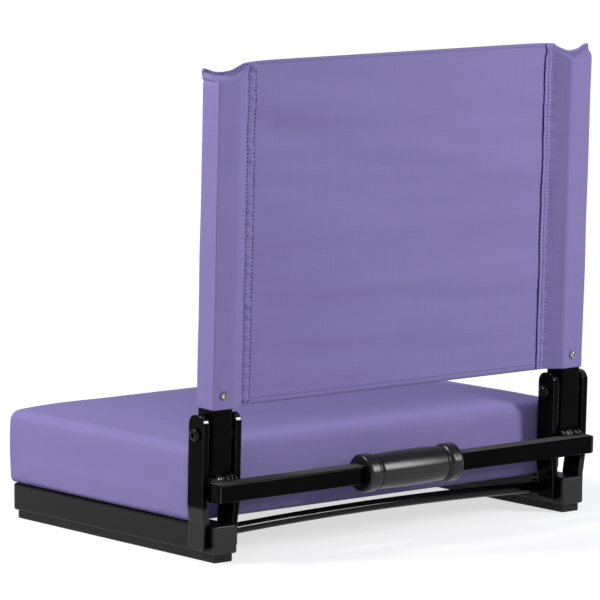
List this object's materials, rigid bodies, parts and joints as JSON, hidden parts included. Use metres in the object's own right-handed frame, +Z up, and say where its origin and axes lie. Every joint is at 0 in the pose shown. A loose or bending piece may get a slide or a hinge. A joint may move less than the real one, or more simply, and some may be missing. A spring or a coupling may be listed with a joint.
{
  "type": "folding stadium seat",
  "caption": "Folding padded stadium seat: a covered cushion on square-tube runners, with a sling back on a tube frame that hinges forward onto the cushion and a grip bar behind.",
  "frame": {"origin": "on the floor, below the middle of the whole seat's box", "axes": "+Z up, +Y towards the rear of the seat, +X towards the sitter's left"},
  "size_m": [0.4536, 0.3268, 0.4329],
  "materials": {
    "black_painted_steel": "gloss",
    "zinc_plated_steel": "satin",
    "black_moulded_plastic": "satin",
    "black_rubber": "matte",
    "black_vinyl_grip": "satin",
    "purple_polyester_canvas": "woven matte",
    "seat_foam": "matte",
    "plywood_board": "sawn",
    "black_dust_cloth": "matte"
  },
  "bodies": {
    "base": {"ear_welds": "black_painted_steel", "left_foot_strip": "black_rubber", "left_front_cap": "black_moulded_plastic", "left_inner_ear": "black_painted_steel", "left_outer_ear": "black_painted_steel", "left_pivot_bolt": "black_painted_steel", "left_pivot_nut": "black_painted_steel", "left_rear_cap": "black_moulded_plastic", "left_runner": "black_painted_steel", "pivot_spacers": "black_moulded_plastic", "rear_cross_rod": "black_painted_steel", "right_foot_strip": "black_rubber", "right_front_cap": "black_moulded_plastic", "right_inner_ear": "black_painted_steel", "right_outer_ear": "black_painted_steel", "right_pivot_bolt": "black_painted_steel", "right_pivot_nut": "black_painted_steel", "right_rear_cap": "black_moulded_plastic", "right_runner": "black_painted_steel", "rod_welds": "black_painted_steel", "seat_board": "plywood_board", "seat_cover": "purple_polyester_canvas", "seat_dust_cover": "black_dust_cloth", "seat_foam": "seat_foam", "seat_screws": "zinc_plated_steel"},
    "backrest": {"left_back_tube": "black_painted_steel", "right_back_tube": "black_painted_steel", "back_tube_plugs": "black_moulded_plastic", "handle_bar": "black_painted_steel", "bar_end_plugs": "black_moulded_plastic", "bar_welds": "black_painted_steel", "handle_grip": "black_vinyl_grip", "back_panel": "purple_polyester_canvas", "left_sleeve": "purple_polyester_canvas", "right_sleeve": "purple_polyester_canvas", "sleeve_screws": "zinc_plated_steel"}
  },
  "joints": [
    {"name": "backrest_fold", "type": "hinge", "parent": "base", "child": "backrest", "pos_m": [0, 0.12863, 0.1125], "axis": [1, 0, 0], "range_deg": [0, 88]}
  ]
}
